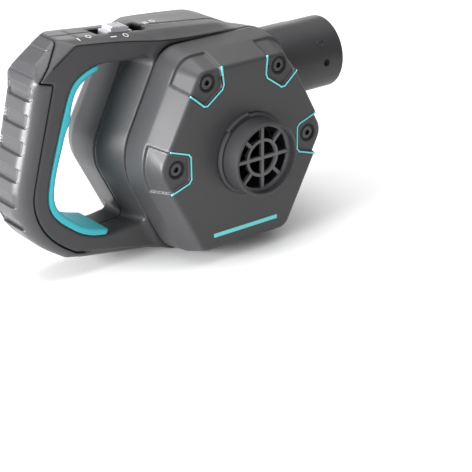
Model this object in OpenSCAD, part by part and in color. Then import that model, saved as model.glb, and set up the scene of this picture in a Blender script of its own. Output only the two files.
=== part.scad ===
// Electric air mattress pump: hexagonal drum with a side handle, an axial inlet
// on the front plate and a radial outlet tube on the right.
// Millimetres. X runs toward the outlet, Y runs back from the front plate,
// Z runs up from the surface the pump rests on. The parting plane of the two
// housing halves is Y = 0.

/* [Drum] */
// Height of the drum centre line above the resting surface
drum_z = 74; // [68:0.5:80]
// Distance from the parting plane forward to the front plate
front_y = 56.5; // [50:0.25:62]
// Distance from the parting plane back to the rear face
rear_y = 55.25; // [50:0.25:62]
// Distance from the parting plane forward to the seam of the front cover
seam_y = 21.25; // [18:0.25:26]
// Wall thickness of the moulded shells
wall = 2.4; // [1.8:0.1:3.2]

/* [Ports] */
// Offset of the inlet and motor axis to the right of the drum centre
axis_x = 5; // [0:0.5:10]
// Height of the inlet and motor axis
axis_z = 72; // [68:0.5:78]
// Outer radius shared by the inlet collar and the outlet tube
port_r = 25.5; // [22:0.1:30]
// Inner radius of both ports
port_bore_r = 23.3; // [20:0.1:27]
// Length of the inlet collar in front of the plate
collar_len = 16.7; // [12:0.1:22]
// Depth of the grille behind the collar rim
grille_depth = 4.8; // [3:0.1:8]
// Height of the outlet tube axis
tube_z = 107.6; // [100:0.1:115]
// Distance from the drum centre to the rim of the outlet tube
tube_end = 112; // [100:0.5:125]

/* [Handle] */
// Half depth of the handle
handle_hy = 19; // [16:0.5:24]
// Fall of the deck per millimetre toward the outlet
deck_fall = 0.105; // [0.05:0.005:0.15]
// Height of the deck over the drum centre
deck_z = 149.6; // [145:0.1:155]

/* [Switch] */
// Travel of the switch knob from the middle position to either end
switch_throw = 8; // [4:0.5:9]
// Distance of the switch from the drum centre toward the handle
switch_x = -62; // [-75:1:-50]

/* [Blower and motor] */
// Outer radius of the impeller
impeller_r = 37.5; // [34:0.5:39]
// Number of impeller blades
blade_count = 9; // [7:1:13]
// Radius of the motor shaft
shaft_r = 2.5; // [2:0.1:4]
// Outer radius of the armature core
armature_r = 14; // [12:0.25:17]

/* [Fasteners] */
// Radius of the corner screw heads
screw_head_r = 4.2; // [3.5:0.1:5]
// Thread radius of the corner screws
screw_r = 1.75; // [1.5:0.05:2.5]

/* [Hidden] */
plate_y = -front_y;
eps = 0.02;
arc_n = 6;
gap = 0.1;
corner_x = 55.1;
corner_side_x = 29.5;
corner_side_dz = 53.2;
corners = [[corner_x, 0], [corner_side_x, corner_side_dz], [-corner_side_x, corner_side_dz], [-corner_x, 0]];
housing_screw_at = [[-40, 28], [40, 28], [-62, 100], [66, 66], [-134.8, 66]];
tube_root_r = port_r + 0.3;
tube_land_x = tube_end - 27;
clamp_x = 11.2;
cord_x = 0;
cord_z = 31;
motor_screw_at = [[23, 17], [-23, 17], [23, -17], [-23, -17]];
impeller_y0 = -40;
impeller_y1 = -18;
back_plate_y = -11;

function unit(v) = v / norm(v);
// Points of a fillet of radius r at corner v between neighbours p and q.
function fillet(p, v, q, r, n) =
    let(a = unit(p - v), b = unit(q - v), half = acos(a * b) / 2,
        t = r / tan(half), c = v + unit(a + b) * r / sin(half),
        s = v + a * t - c, e = v + b * t - c, sweep = 180 - 2 * half,
        turn = s[0] * e[1] - s[1] * e[0] > 0 ? 1 : -1)
    [for (i = [0:n - 1]) let(w = turn * sweep * i / (n - 1))
        c + [s[0] * cos(w) - s[1] * sin(w), s[0] * sin(w) + s[1] * cos(w)]];
function rounded(pts, radii, n = arc_n) =
    [for (i = [0:len(pts) - 1]) each fillet(pts[(i + len(pts) - 1) % len(pts)], pts[i],
        pts[(i + 1) % len(pts)], radii[i], n)];
// Six corners of a drum section, right corner first, counter-clockwise from the front.
function six(w, a, t, b) = [[w, 0], [a, t], [-a, t], [-w, 0], [-a, -b], [a, -b]];
function ring(y, verts, radii) = [for (p = rounded(verts, radii)) [p[0], y, p[1] + drum_z]];

// Skin over rings that all have the same number of points.
module skin(rings) {
    n = len(rings[0]);
    m = len(rings);
    sides = [for (j = [0:m - 2]) for (i = [0:n - 1]) let(k = (i + 1) % n)
        each [[j * n + i, j * n + k, (j + 1) * n + i], [j * n + k, (j + 1) * n + k, (j + 1) * n + i]]];
    first = [for (i = [0:n - 1]) n - 1 - i];
    last = [for (i = [0:n - 1]) (m - 1) * n + i];
    polyhedron(points = [for (r = rings) each r], faces = concat(sides, [first, last]), convexity = 6);
}
// Skin over bands: each ring runs out along one edge and back along the other, so that
// its end caps are strips between the two edges.
module band_skin(rings) {
    n = len(rings[0]);
    m = len(rings);
    h = n / 2;
    sides = [for (j = [0:m - 2]) for (i = [0:n - 1]) let(k = (i + 1) % n)
        each [[j * n + i, j * n + k, (j + 1) * n + i], [j * n + k, (j + 1) * n + k, (j + 1) * n + i]]];
    first = [for (i = [0:h - 2]) each [[n - 1 - i, n - 2 - i, i + 1], [n - 1 - i, i + 1, i]]];
    e = (m - 1) * n;
    last = [for (i = [0:h - 2]) each [[e + i, e + i + 1, e + n - 2 - i], [e + i, e + n - 2 - i, e + n - 1 - i]]];
    polyhedron(points = [for (r = rings) each r], faces = concat(sides, first, last), convexity = 6);
}
// Prism from a front-view outline (x, z) between two depths.
module prism(pts, y0, y1) {
    translate([0, y1, 0]) rotate([90, 0, 0]) linear_extrude(height = y1 - y0, convexity = 6) polygon(pts);
}
// Cylinder along Y starting at y0 and ending at y1.
module ycyl(x, z, r, y0, y1, fn = 64) {
    translate([x, y1, z]) rotate([90, 0, 0]) cylinder(h = y1 - y0, r = r, $fn = fn);
}
module ycone(x, z, r0, r1, y0, y1, fn = 64) {
    translate([x, y0, z]) rotate([-90, 0, 0]) cylinder(h = y1 - y0, r1 = r0, r2 = r1, $fn = fn);
}
// Cylinder along X starting at x0 and ending at x1.
module xcyl(y, z, r, x0, x1, fn = 64) {
    translate([x0, y, z]) rotate([0, 90, 0]) cylinder(h = x1 - x0, r = r, $fn = fn);
}
module box(x0, x1, y0, y1, z0, z1) {
    translate([x0, y0, z0]) cube([x1 - x0, y1 - y0, z1 - z0]);
}

// ---- drum sections -------------------------------------------------------
plate_rad = [9, 7, 7, 9, 9, 9];
shoulder_rad = [30, 16, 16, 30, 20, 20];
seam_rad = [36, 20, 20, 36, 24, 24];
mid_rad = [24, 38, 8, 24, 24, 24];
mid_section = [[84, 0], [38, 70.5], [-48, 80.6], [-86, 1.5], [-47, -74], [47, -74]];
function inset(v, d) = [for (p = v) p - unit(p) * d * 1.12];
function lower(r, d) = [for (q = r) max(q - d, 2)];

function cover_rings(d) = [
    ring(plate_y + d, inset(six(67.8, 34.7, 61.1, 62.1), d), lower(plate_rad, d)),
    ring(plate_y + d + 1.4, inset(six(69.4, 35.5, 62.7, 63.7), d), lower(plate_rad, d)),
    ring(-41.5 + d * 0.3, inset(six(74, 39.3, 67.6, 68.6), d), lower(shoulder_rad, d)),
    ring(-38.5 + d * 0.2, inset(six(75.4, 40, 68.8, 69.6), d), lower(shoulder_rad, d)),
    ring(-seam_y + (d > 0 ? 1 : 0), inset(six(77.8, 41.7, 71.7, 72.2), d), lower(seam_rad, d))];
function front_rings(d) = [
    ring(-seam_y - (d > 0 ? 1 : 0), inset(six(77.8, 41.7, 71.7, 72.2), d), lower(seam_rad, d)),
    ring(-10, inset([[81.5, 0], [40, 71], [-45, 75.5], [-82.5, 0.8], [-44.5, -73.8], [44.5, -73.8]], d),
        lower([30, 26, 14, 30, 24, 24], d)),
    ring(d > 0 ? 1 : 0, inset(mid_section, d), lower(mid_rad, d))];
function rear_rings(d) = [
    ring(d > 0 ? -1 : 0, inset(mid_section, d), lower(mid_rad, d)),
    ring(29, inset([[84, 0], [36, 73], [-44, 79.5], [-85, 1], [-46, -74], [46, -74]], d),
        lower([26, 56, 12, 26, 24, 24], d)),
    ring(40 - d * 0.3, inset([[80, 0], [38, 70], [-42, 73], [-81, 0.5], [-44, -71], [44, -71]], d),
        lower([28, 58, 16, 28, 24, 24], d)),
    ring(50 - d * 0.7, inset(six(74, 38, 65, 66), d), lower([28, 36, 20, 28, 24, 24], d)),
    ring(rear_y - d, inset(six(66, 33, 58, 58), d), lower([24, 26, 18, 24, 20, 20], d))];

// ---- handle outlines -------------------------------------------------------
function deck_at(x) = deck_z - deck_fall * x;
// Outer edge of the handle frame where the grip cover ends, from the deck down.
seam_line = [[-113.6, 157.6], [-122.5, 146.5], [-130.4, 138.6], [-121.1, 135.9], [-126, 118], [-130.9, 100],
    [-137.6, 75], [-140.6, 62], [-138.6, 49.5], [-132.4, 37], [-122, 26.5], [-110.5, 19]];
// Outermost line of the grip at mid depth, point by point beside seam_line.
grip_line = [[-115.2, 159.4], [-129.8, 148.6], [-134.4, 139.5], [-135.6, 135], [-140, 117], [-144.6, 98],
    [-151.4, 74], [-153, 62], [-150.8, 49.5], [-143.7, 36.3], [-131.5, 24.4], [-116.5, 14.6]];
// Finger opening of the frame, from the neck under the deck round to the lower neck.
window_line = [[-66, 140.6], [-86.5, 142.6], [-98, 139.4], [-108, 132.8], [-114.1, 117.1], [-119.6, 99.6],
    [-125.8, 80.4], [-130.2, 60.5], [-127.4, 49.4], [-119.4, 40.6], [-103.1, 28.1], [-84.4, 24.1], [-64, 26.4]];
// Finger side of the soft liner, with its thumb ridge near the top.
liner_inner = [[-87.4, 138.8], [-97, 134.8], [-105, 128.4], [-109.6, 115.5], [-109.2, 109], [-113.6, 103.2],
    [-117.1, 92.3], [-122.9, 75.2], [-125.4, 60], [-122.4, 51.4], [-115.9, 44.4], [-101.8, 33.2], [-84.8, 28.4]];

// Rounded underside of the lower neck.
module lower_belly(y0, y1) {
    edge = [[-110.5, 19.2], [-105, 18.2], [-70, 11], [-35, 3.3], [-30, 3.3], [-30, 22], [-110.5, 22]];
    full = [[-110.5, 12.4], [-105, 10.6], [-70, 5], [-35, 0.4], [-30, 0.4], [-30, 22], [-110.5, 22]];
    far = y0 < 0 ? y0 : y1;
    side = far < 0 ? -1 : 1;
    half = [[far, edge], [side * (handle_hy - 3.5), (edge + full) / 2], [side * 9, full], [0, full]];
    order = side < 0 ? half : [half[3], half[2], half[1], half[0]];
    skin([for (h = order) [for (p = h[1]) [p[0], h[0], p[1]]]]);
}
// Blend of the deck from the neck onto the drum, one side of the parting plane.
// Each station holds x, depth of the deck edge and its drop below the deck.
front_blend = [[-86, 19, 1.3], [-64, 19.2, 2.2], [-42, 20.3, 5], [-22, 21, 5.4], [0, 21.2, 4.6], [18, 21.2, 3.4]];
rear_blend = [[-86, 19, 1.3], [-64, 20, 1.3], [-42, 24, 1.2], [-22, 27, 1.1], [0, 28.5, 1], [18, 28.8, 1.4]];
module deck_blend(stations, side) {
    rings = [for (s = stations) let(x = s[0], z = deck_at(x), low = x < -60 ? 143 : 138) [
        [x, 0, z], [x, side * s[1] * 0.5, z - s[2] * 0.12], [x, side * s[1] * 0.86, z - s[2] * 0.6],
        [x, side * s[1], z - s[2]], [x, side * s[1], low], [x, 0, low]]];
    skin(side > 0 ? rings : [for (r = rings) [for (i = [5:-1:0]) r[i]]]);
}
module handle_block(y0, y1) {
    difference() {
        union() {
            prism(concat([[-60, 143], [-84, 143], [-84, deck_at(-84) - 0.6], [-111.5, deck_at(-111.5) - 0.6]],
                seam_line, [[-70, 10.9], [-35, 3.2], [-30, 3.2]]), y0, y1);
            lower_belly(y0, y1);
            deck_blend(y0 < 0 ? front_blend : rear_blend, y0 < 0 ? -1 : 1);
        }
        prism(concat([[-30, 100], [-60, 139.6]], window_line, [[-58, 40]]), y0 - 1, y1 + 1);
    }
}
// Inside of the hollow handle.
module handle_hollow(y0, y1) {
    prism([[-40, 142.4], [-87, 144.8], [-99.5, 141.2], [-110.5, 135.8], [-116.6, 118], [-122, 100], [-128.3, 80.8],
        [-132.7, 60.5], [-129.6, 48.2], [-121, 38.6], [-104.2, 25.8], [-84.6, 21.6], [-45, 23], [-45, 9.5],
        [-70, 13.6], [-109, 21.4], [-120.4, 29.4], [-130.4, 38.6], [-136.2, 50.4], [-138.2, 61.8], [-135.2, 74.6],
        [-128.5, 99.6], [-123.6, 117.6], [-118.7, 136], [-118.4, 146], [-111, 156.6],
        [-40, deck_at(-40) - wall - 0.6]], y0, y1);
}
// Places a part in the frame of the sloping deck at the switch.
module at_switch() {
    translate([switch_x, 0, deck_at(switch_x)]) rotate([0, atan(deck_fall), 0]) children();
}
module switch_cutter() {
    at_switch() box(-19.1, 19.1, -7.1, 7.1, -5.1, 6);
}
module motor_boss_clear(y0, y1) {
    ycyl(axis_x, axis_z, 33, y0, y1, 96);
}
module tube_hole(r) {
    xcyl(0, tube_z, r, 42, tube_end + 10, 96);
}
// Screw boss with a web running out to the drum wall, or straight down where the boss is low.
module boss(x, z, r, y0, y1) {
    out = z < 40 ? [0, -1] : unit([x, z - drum_z]);
    side = [-out[1], out[0]] * 1.5;
    c = [x, z];
    ycyl(x, z, r, y0, y1, 32);
    prism([c + side, c - side, c - side + out * 40, c + side + out * 40], y0, y1);
}

// ---- moulded shells --------------------------------------------------------
// Corner pocket outline on the plate, in local coordinates of the right corner.
module corner_zone(y0, y1) {
    for (m = [0, 1]) mirror([m, 0, 0]) translate([0, 0, drum_z]) {
        prism([[90, 23.6], [60.3, 12.8], [47, 8.1], [45.3, 6], [45.3, -8.2], [47, -10.4], [60.3, -14.8], [90, -25.6]],
            y0, y1);
        prism([[21, 90], [19.5, 62], [18.2, 50], [19.3, 47.5], [31, 39.4], [33.2, 39.5], [43, 47.8], [90, 86]], y0, y1);
    }
}
module front_cover() {
    color([0.27, 0.27, 0.28]) difference() {
        union() {
            difference() {
                skin(cover_rings(0));
                corner_zone(plate_y - 1, -39);
            }
            intersection() {
                skin(cover_rings(1.6));
                box(-100, 100, -80, -seam_y, 0, 160);
            }
            for (c = corners) ycyl(c[0], c[1] + drum_z, 5.6, plate_y + 1.7, -seam_y, 32);
        }
        difference() {
            skin(cover_rings(1.6 + wall));
            for (c = corners) ycyl(c[0], c[1] + drum_z, 5.6, plate_y, -seam_y, 32);
        }
        ycyl(axis_x, axis_z, port_r + 1.6, plate_y - 1, plate_y + 12, 96);
        for (c = corners) {
            ycyl(c[0], c[1] + drum_z, screw_r + 0.15, plate_y - 1, 0, 32);
            ycyl(c[0], c[1] + drum_z, screw_head_r + 0.9, plate_y - 1, plate_y + 6, 32);
        }
        trim_path(plate_y - 1, plate_y + 0.8, 0.05);
        tube_hole(tube_root_r + gap);
        box(-27, 27, plate_y - 1, plate_y + 0.5, drum_z - 55, drum_z - 52);
    }
}
module stroke(a, b, w, y0, y1) {
    d = unit(b - a);
    s = [-d[1], d[0]] * w / 2;
    e = d * w / 2;
    prism([a - e - s, b + e - s, b + e + s, a - e + s], y0, y1);
}
// Edge of the side and upper corner pockets, on the plate's side of it.
side_edge = [[60, 13.6], [46.3, 8.9], [44.5, 6.6], [44.5, -8.7], [46.3, -11.2], [60, -15.6]];
upper_edge = [[18.7, 62], [17.4, 50], [18.6, 47], [30.6, 38.4], [33.4, 38.6], [43.4, 47]];
module trim_path(y0, y1, grow) {
    w = 1.1 + 2 * grow;
    for (m = [0, 1]) mirror([m, 0, 0]) translate([0, 0, drum_z])
        for (edge = [side_edge, upper_edge]) for (i = [0:4]) stroke(edge[i], edge[i + 1], w, y0, y1);
}
module plate_trim() {
    color([0.45, 0.85, 0.86]) {
        trim_path(plate_y - 0.15, plate_y + 0.75, 0);
        box(-26.9, 26.9, plate_y - 0.15, plate_y + 0.45, drum_z - 54.9, drum_z - 52.1);
    }
}
module front_housing() {
    color([0.28, 0.28, 0.29]) difference() {
        union() {
            difference() {
                union() {
                    skin(front_rings(0));
                    handle_block(-handle_hy, 0);
                }
                skin(front_rings(wall));
                handle_hollow(-handle_hy + wall, 1);
            }
            intersection() {
                skin(front_rings(0.8));
                difference() {
                    union() {
                        for (c = corners) boss(c[0], c[1] + drum_z, 5.2, -seam_y, -2);
                        for (p = housing_screw_at) if (p[0] > -100) boss(p[0], p[1], 4.4, -12, 0);
                    }
                    motor_boss_clear(-30, 1);
                    ycyl(axis_x, axis_z, 50, -30, back_plate_y + 3, 96);
                }
            }
            ycyl(-134.8, 66, 4.2, -12, 0, 32);
        }
        for (c = corners) ycyl(c[0], c[1] + drum_z, screw_r - 0.25, -30, -6, 32);
        for (p = housing_screw_at) ycyl(p[0], p[1], screw_r - 0.25, -10, 1, 32);
        tube_hole(tube_root_r + gap);
        switch_cutter();
    }
}
module rear_housing() {
    color([0.28, 0.28, 0.29]) difference() {
        union() {
            difference() {
                union() {
                    skin(rear_rings(0));
                    handle_block(0, handle_hy);
                }
                skin(rear_rings(wall));
                handle_hollow(-1, handle_hy - wall);
            }
            intersection() {
                skin(rear_rings(0.8));
                difference() {
                    for (p = housing_screw_at) if (p[0] > -100) boss(p[0], p[1], 5, 0, 54);
                    motor_boss_clear(-1, 60);
                }
            }
            ycyl(-134.8, 66, 4.2, 0, 17, 32);
            for (s = [-1, 1]) ycyl(cord_x + s * clamp_x, cord_z, 3, 40, rear_y - 2, 32);
            difference() {
                ycyl(axis_x, axis_z, 21, 46, rear_y - 2, 64);
                ycyl(axis_x, axis_z, 18.6, 40, rear_y - 1, 64);
            }
        }
        for (p = housing_screw_at) {
            ycyl(p[0], p[1], screw_r + 0.15, -1, 80, 32);
            ycyl(p[0], p[1], 3.6, p[0] < -100 ? 13 : 36, 80, 32);
        }
        tube_hole(tube_root_r + gap);
        switch_cutter();
        for (i = [-3:3]) for (s = [-1, 1])
            translate([axis_x + s * 33 - 9, rear_y - 6, axis_z + i * 6 - 1.5]) cube([18, 12, 3]);
        ycyl(cord_x, cord_z, 6.1, 46, 80, 48);
        for (s = [-1, 1]) ycyl(cord_x + s * clamp_x, cord_z, 1.1, 30, 50, 32);
        box(-24, 24, rear_y - 0.6, rear_y + 1, 100, 116);
    }
}
module rating_plate() {
    color([0.75, 0.76, 0.78]) box(-23.9, 23.9, rear_y - 0.6, rear_y - 0.1, 100.1, 115.9);
}

// ---- handle trim -----------------------------------------------------------
// Fullness of the grip between its edge (0) and mid depth (1).
function grip_fullness(y) = abs(y) <= 8 ? 1 : sqrt(max(0, 1 - pow((abs(y) - 8) / (handle_hy - 8), 2)));
function grip_ring(y) =
    let(f = grip_fullness(y))
    concat([for (i = [0:11]) let(s = seam_line[i], g = grip_line[i], p = s + (g - s) * f)
            [p[0] - 0.7 * (1 - f) - gap, y, p[1]]],
        [for (i = [11:-1:0]) [seam_line[i][0] - gap, y, seam_line[i][1]]]);
module grip_cover() {
    color([0.36, 0.36, 0.38]) difference() {
        band_skin([for (y = [-19, -18.2, -16.5, -14, -11, -8, 8, 11, 14, 16.5, 18.2, 19]) grip_ring(y)]);
        for (i = [0:5]) rib_pocket(131 - i * 17);
    }
}
grip_by_height = [for (i = [11:-1:1]) [grip_line[i][1], grip_line[i][0]]];
// Shallow recess across the grip, centred at height z.
module rib_pocket(z) {
    x = lookup(z, grip_by_height);
    rise = lookup(z + 4, grip_by_height) - lookup(z - 4, grip_by_height);
    translate([x, 0, z]) rotate([0, atan(rise / 8), 0]) box(-3, 0.9, -14.5, 14.5, -4.2, 4.2);
}
module handle_liner() {
    color([0.2, 0.75, 0.8]) prism(concat([for (i = [1:11]) window_line[i]], [for (i = [12:-1:0]) liner_inner[i]]),
        -handle_hy + 0.3, handle_hy - 0.3);
}

// ---- ports -----------------------------------------------------------------
module inlet_collar() {
    color([0.3, 0.3, 0.31]) {
        translate([axis_x, plate_y, axis_z]) rotate([90, 0, 0]) difference() {
            rotate_extrude($fn = 96) polygon([[port_bore_r, -6], [port_r + 1.4, -6], [port_r + 1.4, 0],
                [port_r + 2.6, 0], [port_r + 2.6, 1.6], [port_r + 1.4, 2.8], [port_r, 2.8],
                [port_r, collar_len - 0.8], [port_r - 0.8, collar_len], [port_bore_r, collar_len]]);
            translate([0, 0, collar_len - grille_depth - 2.6])
                rotate_extrude($fn = 96) polygon([[port_bore_r - 1, 0], [port_bore_r + 0.8, 0],
                    [port_bore_r + 0.8, 2.6], [port_bore_r - 1, 2.6]]);
        }
        translate([axis_x, plate_y, axis_z]) rotate([90, 0, 0])
            for (a = [98, 278]) rotate([0, 0, a]) rotate_extrude(angle = 38, $fn = 96)
                polygon([[port_r - 0.4, 0], [port_r + 4.2, 0], [port_r + 4.2, 1.8], [port_r + 3.2, 2.8],
                    [port_r - 0.4, 2.8]]);
    }
}
module inlet_grille() {
    y0 = plate_y - collar_len + grille_depth;
    rim = port_bore_r + 0.7;
    color([0.5, 0.5, 0.51]) translate([axis_x, y0 + 2.5, axis_z]) rotate([90, 0, 0]) {
        difference() {
            cylinder(h = 2.4, r = rim, $fn = 96);
            translate([0, 0, -1]) cylinder(h = 5, r = rim - 2.6, $fn = 96);
        }
        difference() {
            cylinder(h = 2.4, r = 13.1, $fn = 64);
            translate([0, 0, -1]) cylinder(h = 5, r = 11.1, $fn = 64);
        }
        difference() {
            for (i = [0:7]) rotate([0, 0, i * 45]) translate([0, -1.1, 0]) cube([rim - 1, 2.2, 2.4]);
            difference() {
                translate([0, 0, -1]) cylinder(h = 5, r = 12, $fn = 64);
                for (i = [0:1]) rotate([0, 0, i * 90]) translate([-12, -1.1, -1]) cube([24, 2.2, 5]);
            }
        }
    }
}
module outlet_tube() {
    color([0.3, 0.3, 0.31]) difference() {
        union() {
            xcyl(0, tube_z, port_r, 46, tube_end, 96);
            xcyl(0, tube_z, tube_root_r, 46, tube_land_x, 96);
            translate([57, 0, tube_z]) rotate([0, 90, 0]) rotate([0, 0, -60])
                rotate_extrude(angle = 120, $fn = 96) translate([port_r - 1, 0]) square([3, 2.4]);
        }
        ycyl(axis_x, axis_z, 45.4, -60, back_plate_y + 3, 96);
        xcyl(0, tube_z, port_bore_r, 30, tube_end + 1, 96);
        ycyl(97, tube_z, 2.6, -40, -port_r + 1.4, 48);
    }
}

// ---- fasteners -------------------------------------------------------------
// Socket head screw along Y, head toward -Y when dir is 1 and toward +Y when dir is -1.
module socket_screw(x, z, head_y, len, dir, head_r, r) {
    translate([x, head_y, z]) rotate([dir > 0 ? -90 : 90, 0, 0]) {
        difference() {
            cylinder(h = head_r * 0.9, r = head_r, $fn = 48);
            translate([0, 0, -1]) cylinder(h = 1 + head_r * 0.5, r = head_r * 0.5, $fn = 6);
        }
        translate([0, 0, head_r * 0.9 - eps]) cylinder(h = len, r = r, $fn = 32);
    }
}
module cover_screws() {
    color([0.55, 0.56, 0.58]) for (c = corners)
        socket_screw(c[0], c[1] + drum_z, plate_y + 6 - screw_head_r * 0.9, 32, 1, screw_head_r, screw_r - 0.3);
}
module housing_screws() {
    color([0.55, 0.56, 0.58]) for (p = housing_screw_at)
        socket_screw(p[0], p[1], (p[0] < -100 ? 13 : 36) + 3 * 0.9, p[0] < -100 ? 20 : 43, -1, 3, screw_r - 0.3);
}

// ---- switch ----------------------------------------------------------------
module switch_plate() {
    color([0.06, 0.06, 0.07]) at_switch() difference() {
        box(-19, 19, -7, 7, -5, -0.3);
        box(-18, 18, -6, 6, -4, 3);
        box(-11.5, 11.5, -1.7, 1.7, -6, 0);
    }
}
module switch_knob() {
    color([0.8, 0.8, 0.82]) at_switch() {
        difference() {
            union() {
                box(-9.3, 9.3, -5.6, 5.6, -3.6, 0.2);
                box(-6.8, 6.8, -5.2, 5.2, 0.2, 2.6);
                box(-1.8, 1.8, -0.9, 0.9, -7.2, -3.5);
            }
            box(-8.4, 8.4, -4.7, 4.7, -4, -2.4);
        }
        box(-1.8, 1.8, -0.9, 0.9, -4, -2.3);
        for (i = [-2:2]) translate([i * 2.5, 5.2, 2.6]) rotate([90, 0, 0]) cylinder(h = 10.4, r = 0.75, $fn = 24);
    }
}
module switch_wiper() {
    color([0.75, 0.55, 0.3]) at_switch() difference() {
        box(-2.6, 2.6, -3.4, 3.4, -10.2, -7);
        box(-1.8, 1.8, -0.9, 0.9, -7.2, -6);
    }
}
module switch_body() {
    color([0.1, 0.1, 0.11]) at_switch() {
        difference() {
            box(-14, 14, -6, 6, -11.4, -5.1);
            box(-12, 12, -4.2, 4.2, -10.6, -6.4);
            box(-11.5, 11.5, -1.5, 1.5, -7, -5);
        }
        for (i = [-1:1]) box(i * 8 - 1.5, i * 8 + 1.5, 6, 8.5, -9, -8.2);
    }
}

// ---- blower ----------------------------------------------------------------
// Scroll outline around the impeller, growing clockwise seen from the front.
function scroll(d) = concat(
    [for (t = [0:5:290]) let(a = 20 - t, r = 41.5 + 5.5 * t / 290 + d) [axis_x + r * cos(a), axis_z + r * sin(a)]],
    [[axis_x + 35.5, axis_z + 47 + d], [axis_x + 35.5, axis_z + 14]]);
module volute() {
    color([0.4, 0.41, 0.43]) difference() {
        union() {
            prism(scroll(1.8), -46, back_plate_y);
            throat(1.8);
            ycyl(axis_x, axis_z, 23, plate_y + 6.2, -44, 96);
        }
        prism(scroll(0), -44.4, back_plate_y + 1);
        throat(0);
        ycyl(axis_x, axis_z, 21, -60, -40, 96);
        xcyl(0, tube_z, tube_root_r + gap, 45.9, 90, 96);
    }
}
// Duct from the scroll to the mouth of the outlet tube.
module throat(d) {
    hull() {
        box(39.5, 40.5, -44.4 - min(d, 1.6), back_plate_y - 1.4 + d * 0.7, 86 - d, axis_z + 47 + d);
        xcyl(0, tube_z, port_bore_r + 0.2 + d, 44, 45 + (d > 0 ? 0 : 1), 48);
    }
}
module volute_back() {
    color([0.4, 0.41, 0.43]) difference() {
        union() {
            prism(scroll(1.8), back_plate_y + gap, back_plate_y + 2.4);
            for (m = motor_screw_at) ycyl(axis_x + m[0], axis_z + m[1], 4.2, back_plate_y + 2, -2.1, 32);
        }
        throat(2.2);
        ycyl(axis_x, axis_z, 5, -20, 0, 48);
        xcyl(0, tube_z, tube_root_r + gap, 45.9, 90, 96);
        for (m = motor_screw_at) ycyl(axis_x + m[0], axis_z + m[1], 1.4, -20, 0, 32);
    }
}
module impeller() {
    color([0.85, 0.86, 0.88]) {
        difference() {
            union() {
                ycyl(axis_x, axis_z, impeller_r, impeller_y1 - 1.6, impeller_y1, 96);
                ycone(axis_x, axis_z, 6, 10, impeller_y0 + 2, impeller_y1 - 1, 64);
            }
            ycyl(axis_x, axis_z, shaft_r, -60, 0, 48);
        }
        difference() {
            ycyl(axis_x, axis_z, impeller_r, impeller_y0, impeller_y0 + 1.4, 96);
            ycyl(axis_x, axis_z, 20, -60, 0, 96);
        }
        translate([axis_x, 0, axis_z]) rotate([90, 0, 0]) for (i = [0:blade_count - 1]) rotate([0, 0, i * 360 / blade_count])
            translate([impeller_r / 2 + 2, -26, -impeller_y0 - 0.7]) mirror([0, 0, 1])
                rotate([0, 0, 58]) rotate_extrude(angle = 62, $fn = 72)
                    translate([24.6, 0]) square([1.5, impeller_y1 - impeller_y0 - 1.6]);
    }
}
module impeller_nut() {
    color([0.72, 0.73, 0.75]) difference() {
        translate([axis_x, impeller_y0 + 2, axis_z]) rotate([90, 0, 0]) cylinder(h = 3.2, r = 4.6, $fn = 6);
        ycyl(axis_x, axis_z, shaft_r, -60, 0, 48);
    }
}
module shaft() {
    color([0.7, 0.71, 0.73]) ycyl(axis_x, axis_z, shaft_r, impeller_y0 - 3, 50, 48);
}

// ---- motor -----------------------------------------------------------------
module bearing(y0) {
    difference() {
        ycyl(axis_x, axis_z, 7.4, y0, y0 + 5, 64);
        ycyl(axis_x, axis_z, shaft_r + 0.06, y0 - 1, y0 + 6, 48);
    }
}
module front_bearing() { color([0.6, 0.61, 0.63]) bearing(-5); }
module rear_bearing() { color([0.6, 0.61, 0.63]) bearing(45.2); }
module armature_core() {
    color([0.45, 0.46, 0.48]) difference() {
        ycyl(axis_x, axis_z, armature_r, 9, 29, 96);
        ycyl(axis_x, axis_z, shaft_r, 0, 40, 48);
        for (i = [0:9]) translate([axis_x, 0, axis_z]) rotate([0, i * 36, 0])
            ycyl(armature_r - 2.2, 0, 1.3, 0, 40, 24);
    }
}
module armature_windings() {
    color([0.7, 0.38, 0.2]) for (y0 = [4.6, 29.02])
        translate([axis_x, y0 + 4.36, axis_z]) rotate([90, 0, 0]) rotate_extrude($fn = 72)
            polygon([[3.2, 0], [11.6, 0], [12.6, 1], [12.6, 3.3], [11.6, 4.36], [3.2, 4.36]]);
}
module commutator() {
    color([0.78, 0.5, 0.28]) difference() {
        union() {
            ycyl(axis_x, axis_z, 8.4, 34, 42.6, 72);
            ycyl(axis_x, axis_z, 9.6, 34, 35.4, 72);
        }
        ycyl(axis_x, axis_z, shaft_r, 30, 50, 48);
        for (i = [0:11]) translate([axis_x, 0, axis_z]) rotate([0, i * 30, 0]) box(7.4, 9, 35.6, 44, -0.25, 0.25);
    }
}
module coil_sector(a0, a1, r0, r1, y0, y1) {
    translate([axis_x, y1, axis_z]) rotate([90, 0, 0]) rotate([0, 0, a0])
        rotate_extrude(angle = a1 - a0, $fn = 72) translate([r0, 0]) square([r1 - r0, y1 - y0]);
}
module stator_core() {
    color([0.5, 0.51, 0.53]) difference() {
        prism([for (p = rounded([[27, 22], [-27, 22], [-27, -22], [27, -22]], [9, 9, 9, 9])) p + [axis_x, axis_z]], 9, 29);
        ycyl(axis_x, axis_z, armature_r + 0.6, 0, 40, 96);
        for (s = [0, 180]) for (a = [28, 122]) coil_sector(s + a - 0.6, s + a + 30.6, armature_r + 0.4, 19.2, 0, 40);
        for (m = motor_screw_at) ycyl(axis_x + m[0], axis_z + m[1], 1.6, 0, 40, 32);
    }
}
module field_coils() {
    color([0.72, 0.4, 0.22]) for (s = [0, 180]) difference() {
        coil_sector(s + 28, s + 152, 14.9, 19, 4.5, 33.5);
        coil_sector(s + 58, s + 122, 13, 21, 8.8, 29.2);
    }
}
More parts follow.
